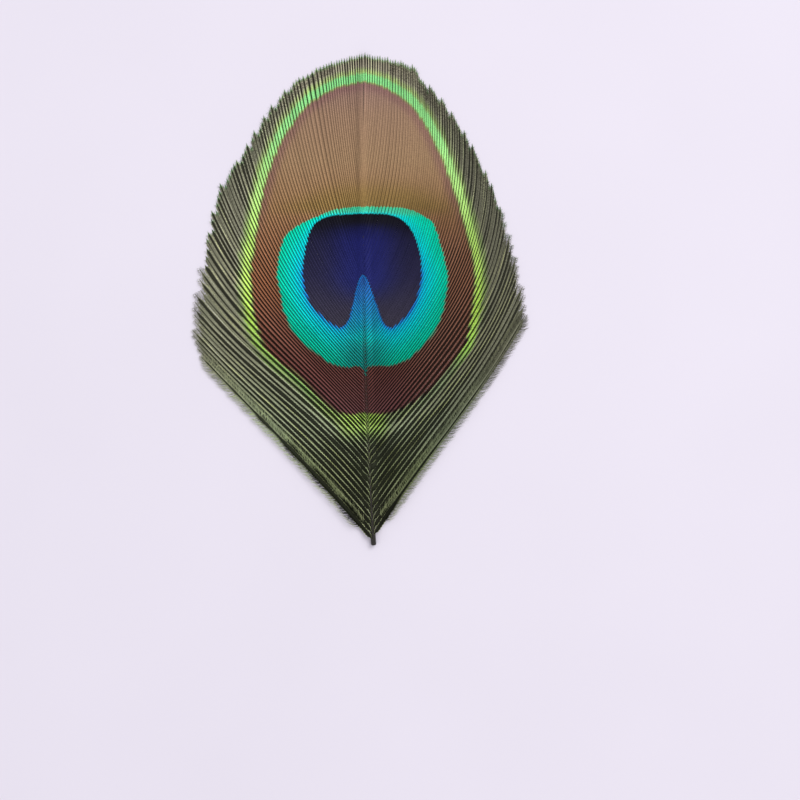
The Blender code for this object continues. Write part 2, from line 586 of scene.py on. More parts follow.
    def margin(self, spots: Spots) -> Values:
        """How the margin's barbs differ: shares from 0 to 1, and a shade that is 1 where they don't.

        Args:
            spots: Where the barbs lie.

        Returns:
            Shares of the margin, of its painted shade and of its painted highlights, and the shade.
        """
        rim, fringe, wave = self.rim(spots), self.fringe(spots.bronze), spots.wave()
        # Painted highlight: pale edges on some barbs of the margin.
        pale = self.pale_barbs(spots.other(self.pale_turns)) * (1 - self.painted_highlight_wave + self.painted_highlight_wave * wave)
        uneven = self.shade_own * (spots.own() - 0.5) + self.shade_wave * wave
        # Painted shade: the margin is darker towards the right.
        dull = self.dull_right(spots.x) * self.painted_shade_outside(spots.bronze)
        return {
            "fringe": fringe,
            "dull": dull * (1 - self.dull_spares_rim * rim),
            "paleness": fringe * (1 - rim) * pale,
            "shade": 1 + fringe * (1 - self.shade_spares_rim * rim) * uneven,
        }

    def measure(self, lines: "BarbLines") -> Values:
        """Measures where points along barbs lie in the zones.

        Args:
            lines: The barbs.

        Returns:
            Named values for every barb and station: depths in each outline, and shares from 0 to 1.
        """
        spots = self.spots(lines)
        in_bronze, in_heart = self.in_bronze(spots.bronze), self.in_heart(spots.heart)
        fringe, ring = self.fringe(spots.bronze), self.ring(spots.bronze)
        return {
            "heart_mm": spots.heart,
            "disc_mm": spots.disc,
            "bronze_mm": spots.bronze,
            "height_mm": spots.y,
            "dark_to": self.dark_lines.width(spots, fringe, ring, in_bronze),
            "dark_value": self.dark_lines.value(spots, in_bronze, in_heart),
            **self.green(spots),
            **self.eye(spots),
            **self.margin(spots),
        }


# ---- Fibres ----


@dataclass
class FibreBundle:
    """Many lofted fibres of one kind, joined into one mesh of closed shells.

    Attributes:
        rings: Points of every fibre, as fibre, station, point of the ring and x, y, z. The last ring closes
            to a point.
        values: Named numbers for every fibre and station, or for every point of every ring.
        under_from: The ring's faces from this one on are its underside.
        map_margin: Space round a fibre's wall in its cell of the map, as a share of the cell.
        cap_size: Width and height of the closed end in the map, as shares of the wall's.
        cap_gap: Space between the wall and the closed end in the map.
        square_from: With more fibres than this the map's cells are in rows.
        sharp_over: Edges that turn more than this many degrees stay sharp.
    """

    rings: Array
    values: Values
    under_from: int
    map_margin: float = 0.06
    cap_size: tuple[float, float] = (0.3, 0.004)
    cap_gap: float = 0.006
    square_from: int = 200
    sharp_over: float = 55.0

    def counts(self) -> tuple[int, int, int]:
        """How many fibres, full rings and points in a ring there are."""
        fibres, stations, sides, _ = self.rings.shape
        return fibres, stations - 1, sides

    def each_point(self, value: Array) -> Array:
        """Spreads a value over the rings, and takes one for each fibre's point.

        Args:
            value: A number for every fibre and station, or for every point of every ring.

        Returns:
            Numbers as fibre and vertex.
        """
        fibres, full, _ = self.counts()
        spread = np.broadcast_to(value if value.ndim == 3 else value[..., None], self.rings.shape[:3])
        return np.hstack([spread[:, :full].reshape(fibres, -1), spread[:, -1, :1]])

    def points(self) -> Array:
        """All vertices, fibre by fibre.

        Returns:
            Points as fibre, vertex and x, y, z.
        """
        fibres, full, _ = self.counts()
        tips = self.rings[:, -1].mean(axis=1)[:, None]
        return np.concatenate([self.rings[:, :full].reshape(fibres, -1, 3), tips], axis=1)

    def faces(self) -> list[tuple[Array, Array, bool]]:
        """The faces of one fibre, in groups of one size.

        Returns:
            For each group its corners, the place of each corner in the fibre's share of the map, and whether
            the group is the wall.
        """
        _, full, sides = self.counts()
        ring, j = (a.ravel() for a in np.meshgrid(np.arange(full - 1), np.arange(sides), indexing="ij"))
        after = (j + 1) % sides
        here, above = ring * sides, (ring + 1) * sides
        wall = np.stack([here + j, here + after, above + after, above + j], 1)
        steps = ((0, 0), (1, 0), (1, 1), (0, 1))
        wall_map = np.stack([np.stack([(j + x) / sides, (ring + y) / full], 1) for x, y in steps], 1)
        j = np.arange(sides)
        first = (full - 1) * sides
        tip = np.stack([first + j, first + (j + 1) % sides, np.full(sides, full * sides)], 1)
        steps = ((0, full - 1), (1, full - 1), (0.5, full))
        tip_map = np.stack([np.stack([(j + x) / sides, np.full(sides, y / full)], 1) for x, y in steps], 1)
        turn = 2 * math.pi * j[::-1] / sides
        width, height = self.cap_size
        cap_map = np.stack([0.5 + width * np.cos(turn), height * np.sin(turn) - self.cap_gap], 1)[None]
        return [(wall, wall_map, True), (tip, tip_map, True), (j[::-1][None], cap_map, False)]

    def mesh(self, name: str) -> bpy.types.Mesh:
        """Writes the fibres as one mesh with its values, its map and its smooth faces.

        Args:
            name: Name of the mesh.

        Returns:
            The mesh, in metres.
        """
        fibres, _, sides = self.counts()
        points = self.points()
        size = points.shape[1]
        columns = math.ceil(math.sqrt(fibres)) if fibres > self.square_from else fibres
        rows = math.ceil(fibres / columns)
        number = np.arange(fibres)
        cell = np.stack([number % columns, number // columns], 1)
        loops, totals, maps, under = [], [], [], []
        for corners, places, is_wall in self.faces():
            loops.append((corners[None] + number[:, None, None] * size).ravel())
            totals.append(np.full(fibres * len(corners), corners.shape[1]))
            inset = self.map_margin + (1 - 2 * self.map_margin) * places[None]
            maps.append(((cell[:, None, None] + inset) / [columns, rows]).reshape(-1, 2))
            below = (np.arange(len(corners)) % sides >= self.under_from) & is_wall
            under.append(np.tile(below.astype(np.float32), fibres))
        mesh = bpy.data.meshes.new(name)
        loop_verts, loop_totals = np.concatenate(loops), np.concatenate(totals)
        mesh.vertices.add(fibres * size)
        mesh.vertices.foreach_set("co", (points.reshape(-1) * MM).astype(np.float32))
        mesh.loops.add(len(loop_verts))
        mesh.loops.foreach_set("vertex_index", loop_verts.astype(np.int32))
        mesh.polygons.add(len(loop_totals))
        mesh.polygons.foreach_set("loop_start", (np.cumsum(loop_totals) - loop_totals).astype(np.int32))
        mesh.update(calc_edges=True)
        for key, value in self.values.items():
            layer = mesh.attributes.new(key, "FLOAT", "POINT")
            layer.data.foreach_set("value", self.each_point(value).reshape(-1).astype(np.float32))
        layer = mesh.attributes.new("under", "FLOAT", "FACE")
        layer.data.foreach_set("value", np.concatenate(under))
        uv_map = mesh.uv_layers.new(name="OFBake")
        uv_map.data.foreach_set("uv", np.concatenate(maps).reshape(-1).astype(np.float32))
        mesh.shade_smooth()
        mesh.set_sharp_from_angle(angle=math.radians(self.sharp_over))
        return mesh


@dataclass
class BarbLines:
    """The middle lines of some barbs. Arrays are barb, station and then x, y, z.

    Attributes:
        middle: Points along each barb.
        along: Unit vectors along the barb, in the plane of the vane.
        across: Unit vectors to the right of the barb, in the plane of the vane.
        reach: Distance of each point from the root.
        room: Distance across from one barb to the next.
        seed: A number from 0 to 1 for each barb.
    """

    middle: Array
    along: Array
    across: Array
    reach: Array
    room: Array
    seed: Array

    def length(self) -> Array:
        """Length of each barb."""
        return self.reach[:, -1:]

    def left(self) -> Array:
        """Distance of each point from the tip."""
        return self.length() - self.reach

    def some(self, chosen: slice) -> "BarbLines":
        """The lines of the chosen barbs only."""
        return BarbLines(*(getattr(self, item.name)[chosen] for item in fields(self)))


@dataclass
class Vane:
    """One side of the feather: its close barbs from the crown down, then its loose barbs down to the cut end.

    A guide barb holds the height of its root on the shaft, the place of its tip outward and up from the cut
    end, and its lean away from the shaft at root and tip, in degrees. Guides run from the crown to the cut
    end. A Fade whose name ends in y is by height.
    """

    side: Side
    guides: tuple[tuple[float, float, float, float, float], ...]
    seed: int
    shaft: Shaft
    stations: int = 184
    guide_steps: int = 600

    # Where barbs are rooted, and how far apart: by their roots, and at the crown by their tips.
    first_root: float = 66.0
    last_root: float = 0.9
    last_close_root: float = 17.5
    close_pitch: float = 0.6
    loose_pitch: float = 1.2
    loosens_y: Fade = Fade(23.5, 14.0)
    tip_pitch: float = 0.44
    most_pitch: float = 1.8

    # A barb's curve: its handles as shares of its chord, and the gap from the centre line to its root.
    handle: float = 0.36
    crown_gap: float = -0.14
    root_gap: float = -0.03
    base_gap: float = 0.2
    closes_y: Fade = Fade(40, 30)
    widens_y: Fade = Fade(16, 1)
    place_step: float = 0.004

    # Height: over the board on the margin, over it at the crest, and over the shaft's ridge beside it.
    rest_height: float = 0.12
    crest_height: float = 0.78
    margin_starts: float = 0.86
    arch_power: float = 1.7
    over_shaft: float = 0.04
    over_in_eye: float = 0.12
    beside_shaft: Fade = Fade(1.5, 0.25)
    eye_foot_y: Fade = Fade(30, 40)
    eye_top_y: Fade = Fade(54, 60)
    eye_top_less: float = 0.7

    # How barbs cling in groups: how many, how strongly all over and low down, and from which share of their
    # length.
    clump_sizes: tuple[int, int] = (3, 7)
    clump: float = 0.01
    clump_low: float = 0.035
    clump_y: Fade = Fade(45, 20)
    clump_share: Fade = Fade(0.45, 1.0)

    # How far barbs wander sideways, as a share of their room, and how many half turns they take.
    wander: float = 0.035
    wander_turns: float = 1.3

    # How barbs' ends make the margin: random at the crown, stepped in each group on the flanks, with a notch
    # above and below one height on the right.
    crown_jitter: float = 0.3
    crown_extra: float = 0.5
    crown_y: Fade = Fade(36, 48)
    flank_step: float = 0.9
    flank_power: float = 1.3
    flank_y: Fade = Fade(50, 34)
    notch_root: float | None = None
    notch: float = 0.6
    notch_reach: float = 7.0

    def word(self) -> str:
        """The side's name in a piece's name."""
        return self.side.name.lower()

    def roots(self) -> Array:
        """Heights of all the barbs' roots, from the crown down.

        Returns:
            One height for each barb.
        """
        fine = spline(np.array(self.guides), np.linspace(0, 1, self.guide_steps))
        spread = np.linalg.norm(np.diff(fine[:, 1:3], axis=0), axis=1) / -np.diff(fine[:, 0])
        roots = [self.first_root]
        while roots[-1] > self.last_root:
            pitch = float(blend(self.close_pitch, self.loose_pitch, self.loosens_y(np.array(roots[-1]))))
            by_tips = self.tip_pitch / np.interp(-roots[-1], -fine[:-1, 0], spread)
            roots.append(roots[-1] - max(pitch, min(by_tips, self.most_pitch)))
        return np.array(roots[:-1])

    def curves(self, place: Array, short: Array) -> Array:
        """Draws barbs at their places among the guides.

        Args:
            place: Where each barb is, 0 at the first guide and 1 at the last.
            short: How much shorter than the outline each barb is.

        Returns:
            Points as barb, station and x, y.
        """
        root_y, tip_x, tip_y, root_lean, tip_lean = spline(np.array(self.guides), place).T
        side = self.side.value
        gap = blend(self.crown_gap, self.root_gap, self.closes_y(root_y))
        gap = gap + self.base_gap * self.widens_y(root_y)
        root = np.stack([self.shaft.centre_x(root_y) + side * gap, root_y], 1)
        tip = np.stack([side * tip_x, tip_y], 1)
        chord = np.linalg.norm(tip - root, axis=1)
        leave, arrive = np.radians(root_lean), np.radians(tip_lean)
        reach = (chord * self.handle)[:, None]
        root_handle = root + reach * np.stack([side * np.sin(leave), np.cos(leave)], 1)
        tip_handle = tip - reach * np.stack([side * np.sin(arrive), np.cos(arrive)], 1)
        t = (np.linspace(0, 1, self.stations)[None] * (1 - short / chord)[:, None])[..., None]
        corners = [corner[:, None] for corner in (root, root_handle, tip_handle, tip)]
        weights = ((1 - t) ** 3, 3 * (1 - t) ** 2 * t, 3 * (1 - t) * t**2, t**3)
        return sum(weight * corner for weight, corner in zip(weights, corners))

    def lines(self) -> BarbLines:
        """Lays out all the barbs of this side, from the crown down.

        Returns:
            Their middle lines.
        """
        rng = np.random.default_rng(self.seed)
        roots = self.roots()
        fine = np.linspace(0, 1, self.guide_steps)
        heights = spline(np.array(self.guides), fine)[:, 0]
        place = np.interp(-roots, -heights, fine)
        place_pitch = np.abs(np.gradient(roots)) * np.interp(place, fine, np.abs(np.gradient(fine, heights)))
        first, others = self.groups(len(roots), rng)
        short = self.shortness(roots, first, others, rng)
        flat = self.curves(place, short)
        low, high = np.clip(place - self.place_step, 0, 1), np.clip(place + self.place_step, 0, 1)
        apart = (self.curves(high, short) - self.curves(low, short)) / (high - low)[:, None, None]
        along = np.gradient(flat, axis=1)
        along /= np.linalg.norm(along, axis=2, keepdims=True)
        across = np.stack([along[..., 1], -along[..., 0]], 2)
        room = np.abs((apart * across).sum(axis=2)) * place_pitch[:, None]
        reach = np.cumsum(np.linalg.norm(np.diff(flat, axis=1, prepend=flat[:, :1]), axis=2), axis=1)
        share = reach / reach[:, -1:]
        strength = self.clump_low * self.clump_y(roots)[:, None] + self.clump
        pull = (first + others / 2 - np.arange(len(roots)))[:, None] * strength * self.clump_share(share)
        wander = rng.normal(0, self.wander, len(roots))[:, None] * np.sin(share * math.pi * self.wander_turns)
        flat = flat + across * ((pull * self.side.value + wander) * room)[..., None]
        middle = np.concatenate([flat, self.height(flat, share)[..., None]], axis=2)
        along, across = (np.concatenate([v, np.zeros_like(v[..., :1])], axis=2) for v in (along, across))
        return BarbLines(middle, along, across, reach, room, rng.random(len(roots)))

    def groups(self, count: int, rng: np.random.Generator) -> tuple[Array, Array]:
        """Splits the barbs into neighbours that cling together.

        Args:
            count: How many barbs there are.
            rng: The source of random numbers.

        Returns:
            For each barb, the first of its group and how many others are in it.
        """
        first, others = np.zeros(count), np.zeros(count)
        start = 0
        while start < count:
            size = int(rng.integers(*self.clump_sizes))
            first[start : start + size] = start
            others[start : start + size] = min(size, count - start) - 1
            start += size
        return first, others

    def shortness(self, roots: Array, first: Array, others: Array, rng: np.random.Generator) -> Array:
        """How far each barb stays short of the outline.

        Args:
            roots: Heights of the roots.
            first: The first barb of each barb's group.
            others: How many others are in it.
            rng: The source of random numbers.

        Returns:
            One length for each barb, below zero where it goes past the outline.
        """
        step = (np.arange(len(roots)) - first) / np.maximum(others, 1)
        extra = self.crown_extra * self.crown_y(roots)
        if self.notch_root is not None:
            middle, reach = self.notch_root, self.notch_reach
            above = Fade(middle + reach, middle)(roots) * (roots > middle)
            below = Fade(middle - reach, middle)(roots) * (roots <= middle)
            extra = extra + self.notch * (above - below)
        stepped = self.flank_y(roots) * self.flank_step * step**self.flank_power
        return stepped + rng.random(len(roots)) * self.crown_jitter - extra

    def height(self, flat: Array, share: Array) -> Array:
        """Height of the barbs' middle, from over the shaft's ridge at the root down to the board.

        Webs are raised to close over the shaft, most where the eye's dark heart is.

        Args:
            flat: Points as barb, station and x, y.
            share: Share of the barb's length at each point.

        Returns:
            One height for each point.
        """
        x, y = flat[..., 0], flat[..., 1]
        fall = np.minimum(share / self.margin_starts, 1) ** self.arch_power
        web = blend(self.rest_height, self.crest_height, 1 - fall)
        in_eye = self.eye_foot_y(y) * (1 - self.eye_top_less * self.eye_top_y(y))
        over = self.shaft.top(y) + self.over_shaft + self.over_in_eye * in_eye
        return web + np.clip(over - web, 0, None) * self.beside_shaft(np.abs(x - self.shaft.centre_x(y)))


@dataclass
class Barbs:
    """Barbs of one side as closed ribbons, each with its ramus in a groove between two webs of barbules.

    Attributes:
        vane: The side.
        lines: The barbs' middle lines.
        zones: Values along the barbs.
        cover: Width of the web, as a share of the room for it.
        taper: Length of the pointed end.
        tooth: How much the web's edge steps in and out, as a share of its half width.
        widest: The most that half a web may be.
        fringe_cover: How much more of the room the webs cover in the margin.
        tip_fade: Where the web widens from the tip, in lengths of the taper.
        root_fade: Where it widens from the root, by reach.
        tip_half: Half width of the bare end, which it narrows from over tip_length.
        tip_length: How far the bare end narrows.
        tip_point: Share of the bare end's width that is left at its very end.
        offsets: Points across the ribbon, as shares of its half width: its top from left to right, then its
            keel.
        rises: How high each of them is when the ribbon is full.
        tilt: How much each ribbon leans over the next one down.
        full_half: Half width at which a ribbon has its full height, and the least share of it.
        flat_y: Where towards the crown the ribbons lie flatter, and by how much.
        slant: How far towards the tip barbules go for each mm that they go out.
    """

    vane: Vane
    lines: BarbLines
    zones: Values
    cover: float
    taper: float
    tooth: float
    widest: float = 1.3
    fringe_cover: float = 0.15
    tip_fade: Fade = Fade(0.15, 1)
    root_fade: Fade = Fade(-0.18, 1.08)
    tip_half: float = 0.08
    tip_length: float = 0.5
    tip_point: float = 0.1
    offsets: tuple[float, ...] = (-1.0, -0.5, 0.0, 0.5, 1.0, 0.0)
    rises: tuple[float, ...] = (-0.06, 0.06, 0.02, 0.06, -0.06, -0.05)
    tilt: float = 0.07
    full_half: tuple[float, float] = (0.22, 0.15)
    flat_y: tuple[Fade, float] = (Fade(52, 66), 0.55)
    slant: float = 0.55

    def half_widths(self) -> Array:
        """Half width of the web at each station.

        Returns:
            Widths as barb and station.
        """
        lines = self.lines
        cover = self.cover + self.fringe_cover * self.zones["fringe"]
        half = np.minimum(lines.room / 2 * cover, self.widest)
        teeth = 1 + self.tooth * np.where(np.arange(half.shape[1]) % 2, 1, -1)
        ends = self.tip_fade(lines.left() / self.taper) * self.root_fade(lines.reach)
        bare = self.tip_half * np.clip(lines.left() / self.tip_length, self.tip_point, 1)
        return np.maximum(half * teeth * ends, bare)

    def bundle(self) -> FibreBundle:
        """Lofts the barbs.

        Returns:
            The ribbons with their values.
        """
        lines = self.lines
        offsets = np.array(self.offsets)
        rises = np.array(self.rises) - self.vane.side.value * self.tilt * offsets
        half = self.half_widths()
        (full_at, least), (flat_y, flatter) = self.full_half, self.flat_y
        full = np.clip(half / full_at, least, 1) * (1 - flatter * flat_y(lines.middle[..., 1]))
        rings = lines.middle[:, :, None] + lines.across[:, :, None] * (half[..., None] * offsets)[..., None]
        rings[..., 2] += rises * full[..., None]
        out = np.abs(offsets)
        behind = self.slant * out * half[..., None]
        shift = behind / np.gradient(lines.reach, axis=1)[..., None]
        values = {key: self.shifted(value, shift) for key, value in self.zones.items()}
        ones = np.ones_like(lines.reach)
        values |= {
            "bright": out - self.zones["dark_to"][..., None],
            "edge_share": out * ones[..., None],
            "row_mm": lines.reach[..., None] - behind,
            "seed": lines.seed[:, None] * ones,
        }
        return FibreBundle(self.vane.shaft.to_frame(rings), values, under_from=4)

    def shifted(self, value: Array, shift: Array) -> Array:
        """Reads a value some stations nearer the root, because barbules slant towards the barb's tip.

        Args:
            value: Numbers as barb and station.
            shift: How many stations, for every point of every ring.

        Returns:
            A number for every point of every ring.
        """
        place = np.clip(np.arange(value.shape[1])[None, :, None] - shift, 0, value.shape[1] - 1)
        low = np.floor(place).astype(int)
        high = np.minimum(low + 1, value.shape[1] - 1)
        rows = np.arange(value.shape[0])[:, None, None]
        return value[rows, low] * (1 - place + low) + value[rows, high] * (place - low)


@dataclass
class Barbules:
    """Free barbules along both edges of some barbs, each a closed spike that bends towards the barb's tip.

    Real barbules are about 0.05 mm apart, too fine to show. They are drawn wider and further apart, as coarse
    as they need to be.

    Attributes:
        vane: The side.
        lines: The barbs.
        zones: Values along the barbs.
        starts: Distance from each barb's root at which the free barbules start.
        seed: Start of the random numbers.
        open_barbs: How many of the last barbs have no neighbour, so that their barbules are longer and
            closer.
    """

    vane: Vane
    lines: BarbLines
    zones: Values
    starts: Array
    seed: int
    open_barbs: int = 0

    # How far apart they are, how unevenly, and how far short of the barb's tip they stop.
    pitch: float = 0.2
    open_pitch: float = 0.11
    uneven_pitch: float = 0.4
    stop: float = 0.12

    # The longest one, and how long one is: by its barb's room with more near the tip, and by the barb left.
    reach: float = 1.6
    open_reach: float = 2.1
    room_share: float = 0.37
    tip_extra: tuple[Fade, float] = (Fade(4, 1), 0.35)
    left_share: tuple[float, float] = (0.2, 0.65)
    length_spread: tuple[float, float] = (0.75, 1.1)

    # Its section, its bend, and its lean away from the barb in degrees.
    half: float = 0.038
    knee_half: float = 0.75
    thick: float = 0.05
    rises: tuple[float, float, float] = (-0.5, 0.7, -0.5)
    bend: float = 0.45
    root_lean: float = 58.0
    tip_lean: float = 34.0
    lean_spread: float = 6.0

    # Its root's place in the web, as a share of half the barb's room, and how high root, knee and tip are.
    root_share: float = 0.4
    most_half_room: float = 0.5
    lift: float = 0.045
    knee_lift: tuple[float, float] = (0.02, 0.1)
    tip_lift: tuple[float, float] = (-0.04, 0.13)

    # How much paler it is than the web, and than that where it lies open, and how shades differ.
    paler: float = 0.06
    open_paler: float = 0.16
    shades: tuple[float, float] = (0.6, 1.45)

    def is_open(self, barb: Array | int) -> Array | bool:
        """Whether barbs are among those that have no neighbour."""
        return barb >= len(self.starts) - self.open_barbs

    def spots(self) -> tuple[Array, Array, Array]:
        """Where barbules grow.

        Returns:
            For each barbule its barb, its place along the barb in stations, and its side of the barb.
        """
        rng = np.random.default_rng(self.seed)
        barbs, places, sides = [], [], []
        stations = np.arange(self.lines.reach.shape[1])
        for i, start in enumerate(self.starts):
            pitch = self.open_pitch if self.is_open(i) else self.pitch
            for side in (-1, 1):
                at = np.arange(start, self.lines.length()[i, 0] - self.stop, pitch)
                at = at + rng.uniform(-self.uneven_pitch, self.uneven_pitch, len(at)) * pitch
                places.append(np.interp(at, self.lines.reach[i], stations))
                barbs.append(np.full(len(at), i))
                sides.append(np.full(len(at), side))
        return np.concatenate(barbs), np.concatenate(places), np.concatenate(sides)

    def read(self, value: Array, barb: Array, place: Array) -> Array:
        """Reads a value at places between stations.

        Args:
            value: Numbers or points as barb and station.
            barb: The barb of each place.
            place: Each place, in stations.

        Returns:
            One number or point for each place.
        """
        low = np.clip(np.floor(place).astype(int), 0, value.shape[1] - 2)
        share = place - low
        share = share[:, None] if value.ndim == 3 else share
        return value[barb, low] * (1 - share) + value[barb, low + 1] * share

    def lengths(self, barb: Array, left: Array, room: Array) -> Array:
        """How long barbules are before chance has its say.

        Args:
            barb: The barb of each.
            left: Distance from it to its barb's tip.
            room: Distance across to the next barb.

        Returns:
            One length for each.
        """
        near_tip, extra = self.tip_extra
        least, grows = self.left_share
        fitted = self.room_share * room / math.sin(math.radians(self.root_lean)) + extra * near_tip(left)
        fitted = np.where(self.is_open(barb), self.open_reach, np.minimum(self.reach, fitted))
        return np.minimum(least + grows * left, fitted)

    def bundle(self) -> FibreBundle:
        """Lofts the barbules.

        Returns:
            The spikes with their values.
        """
        rng = np.random.default_rng(self.seed + 1)
        barb, place, side = self.spots()
        count = len(barb)
        kept = (self.lines.middle, self.lines.along, self.lines.across, self.lines.left(), self.lines.room)
        middle, along, across, left, room = (self.read(value, barb, place) for value in kept)
        length = self.lengths(barb, left, room) * rng.uniform(*self.length_spread, count)
        leans = [np.radians(lean + rng.normal(0, self.lean_spread, count))
                 for lean in (self.root_lean, self.tip_lean)]
        ways = [along * np.cos(lean)[:, None] + across * (side * np.sin(lean))[:, None] for lean in leans]
        out = side * np.minimum(room / 2, self.most_half_room) * self.root_share
        root = middle + across * out[:, None]
        root[:, 2] += self.lift
        knee = root + ways[0] * (length * self.bend)[:, None]
        tip = knee + ways[1] * (length * (1 - self.bend))[:, None]
        knee[:, 2] += self.lift + rng.uniform(*self.knee_lift, count)
        tip[:, 2] += self.lift + rng.uniform(*self.tip_lift, count)
        stations = np.stack([root, knee, tip], 1)
        stations[..., 2] = np.maximum(stations[..., 2], self.thick)
        flat = np.zeros(count)
        wide = np.stack([np.stack([way[:, 1], -way[:, 0], flat], 1) for way in (ways[0], *ways)], 1)
        narrowing = np.array([1.0, self.knee_half, 0.0])[:, None]
        offsets = narrowing * self.half * np.array([-1.0, 0.0, 1.0])
        rings = stations[:, :, None] + wide[:, :, None] * offsets[None, ..., None]
        rings[..., 2] += np.array(self.rises) * self.thick * narrowing
        ones = np.ones((count, 3))
        values = {key: self.read(value, barb, place)[:, None] * ones for key, value in self.zones.items()}
        along_web = blend(self.root_share, 1, np.array([0.0, self.bend, 1.0]))
        paler = self.paler + self.open_paler * self.is_open(barb)[:, None]
        values |= {
            "bright": along_web - values["dark_to"] + paler,
            "row_mm": self.read(self.lines.reach, barb, place)[:, None] * ones,
            "edge_share": np.zeros_like(ones),
            "seed": rng.random(count)[:, None] * ones,
            "shade": values["shade"] * rng.uniform(*self.shades, count)[:, None],
        }
        return FibreBundle(self.vane.shaft.to_frame(rings), values, under_from=2)


# ---- Finishes ----


@dataclass(frozen=True)
class Layer:
    """A colour that covers what lies under it where a measure is past an edge.

    Attributes:
        covers: The mesh's value that is compared with the edge.
        stops: Places on another value with the colour there, as sRGB hex.
        low: Where the layer starts to show.
        high: Where it covers fully.
        over: The value that the stops are on.
        strength: A value that thins the layer, or None.
        most: The most that the layer covers.
    """

    covers: str
    stops: tuple[tuple[float, str], ...]
    low: float = 0.0
    high: float = 1.0
    over: str = "height_mm"
    strength: str | None = None
    most: float = 1.0

    def put_on(self, tree: bpy.types.NodeTree, under: object) -> bpy.types.NodeSocket:
        """Adds the layer over what is there.

        Args:
            tree: The material's nodes.
            under: The colour so far, as a value or a socket.

        Returns:
            The colour with the layer on it.
        """
        measure = add(tree, "ShaderNodeAttribute", {}, "Fac", attribute_name=self.covers)
        share = add(tree, "ShaderNodeMapRange", {0: measure, 1: self.low, 2: self.high, 4: self.most}, 0,
                    interpolation_type="SMOOTHSTEP")
        if self.strength:
            strength = add(tree, "ShaderNodeAttribute", {}, "Fac", attribute_name=self.strength)
            share = add(tree, "ShaderNodeMath", {0: share, 1: strength}, 0, operation="MULTIPLY")
        colour: object = linear(self.stops[0][1])
        if len(self.stops) > 1:
            first, last = self.stops[0][0], self.stops[-1][0]
            place = add(tree, "ShaderNodeAttribute", {}, "Fac", attribute_name=self.over)
            place = add(tree, "ShaderNodeMapRange", {0: place, 1: first, 2: last}, 0)
            colour = add(tree, "ShaderNodeValToRGB", {0: place}, 0,
                         stops=[((at - first) / (last - first), linear(code)) for at, code in self.stops])
        return add(tree, "ShaderNodeMix", {0: share, 6: under, 7: colour}, 2, data_type="RGBA")


@dataclass(frozen=True)
class Finish:
    """A material whose colour is built up in layers, with a fine mottle.

    Attributes:
        name: The material's name.
        base: The colour under the layers, as sRGB hex.
        roughness: How far the highlight spreads.
        specular: How strong it is.
        mottle_mm: Size of the mottle.
        mottle: How much lighter and darker it is.
        layers: The colours over the base, from the first put on to the last.
        metallic: How much the highlight takes the surface's own colour.
        ior: The refractive index. Keratin's is 1.55, and card's fibres are close to it.
        seed_share: How much fibres differ in lightness.
        rows_mm: Distance between rows of barbules.
        rows: How much lighter and darker the rows are, or 0 on what has no barbules.
        mottle_range: Least and greatest noise that counts.
        dark_edge: Where the dark line starts and where it is full, by distance from its edge as a share of
            the web.
    """

    name: str
    base: str
    roughness: float
    specular: float
    mottle_mm: float
    mottle: float
    layers: tuple[Layer, ...] = ()
    metallic: float = 0.0
    ior: float = 1.55
    seed_share: float = 0.0
    rows_mm: float = 0.3
    rows: float = 0.0
    mottle_range: tuple[float, float] = (0.3, 0.7)
    dark_edge: tuple[float, float] = (0.1, -0.1)

    def build(self) -> bpy.types.Material:
        """Makes the material.

        Returns:
            The material, with its colour from nodes and its other values on the shader's sockets.
        """
        material = bpy.data.materials.new(self.name)
        material.use_nodes = True
        tree = material.node_tree
        shader = tree.nodes["Principled BSDF"]
        settings = {"Roughness": self.roughness, "Metallic": self.metallic, "IOR": self.ior,
                    "Specular IOR Level": self.specular}
        for name, value in settings.items():
            shader.inputs[name].default_value = value
        colour: object = linear(self.base)
        for layer in self.layers:
            colour = layer.put_on(tree, colour)
        light, *others = self.lightness(tree)
        for factor in others:
            light = add(tree, "ShaderNodeMath", {0: light, 1: factor}, 0, operation="MULTIPLY")
        colour = add(tree, "ShaderNodeHueSaturation", {"Value": light, "Color": colour}, 0)
        tree.links.new(colour, shader.inputs["Base Color"])
        return material

    def lightness(self, tree: bpy.types.NodeTree) -> list[bpy.types.NodeSocket]:
        """Makes what the colour's lightness is multiplied by.

        Args:
            tree: The material's nodes.

        Returns:
            The mottle and the fibre's own share and, on barbs, their shade, dark line and rows of barbules.
        """
        low, high = self.mottle_range
        place = add(tree, "ShaderNodeTexCoord", {}, "Object")
        scale = 1 / (self.mottle_mm * MM)
        noise = add(tree, "ShaderNodeTexNoise", {"Vector": place, "Scale": scale, "Detail": 2.0}, 0)
        least, most = 1 - self.mottle, 1 + self.mottle
        mottle = add(tree, "ShaderNodeMapRange", {0: noise, 1: low, 2: high, 3: least, 4: most}, 0)
        names = ("seed", "shade", "bright", "dark_value", "row_mm") if self.rows else ("seed",)
        read = {name: add(tree, "ShaderNodeAttribute", {}, "Fac", attribute_name=name) for name in names}
        least, most = 1 - self.seed_share, 1 + self.seed_share
        own = add(tree, "ShaderNodeMapRange", {0: read["seed"], 3: least, 4: most}, 0)
        if not self.rows:
            return [mottle, own]
        outer, inner = self.dark_edge
        dark = add(tree, "ShaderNodeMapRange", {0: read["bright"], 1: outer, 2: inner}, 0,
                   interpolation_type="SMOOTHSTEP")
        line = add(tree, "ShaderNodeMix", {0: dark, 2: 1.0, 3: read["dark_value"]}, 0)
        turn = add(tree, "ShaderNodeMath", {0: read["row_mm"], 1: 2 * math.pi / self.rows_mm}, 0,
                   operation="MULTIPLY")
        wave = add(tree, "ShaderNodeMath", {0: turn}, 0, operation="SINE")
        rows = add(tree, "ShaderNodeMapRange", {0: wave, 1: -1.0, 3: 1 - self.rows, 4: 1 + self.rows}, 0)
        return [mottle, own, read["shade"], line, rows]


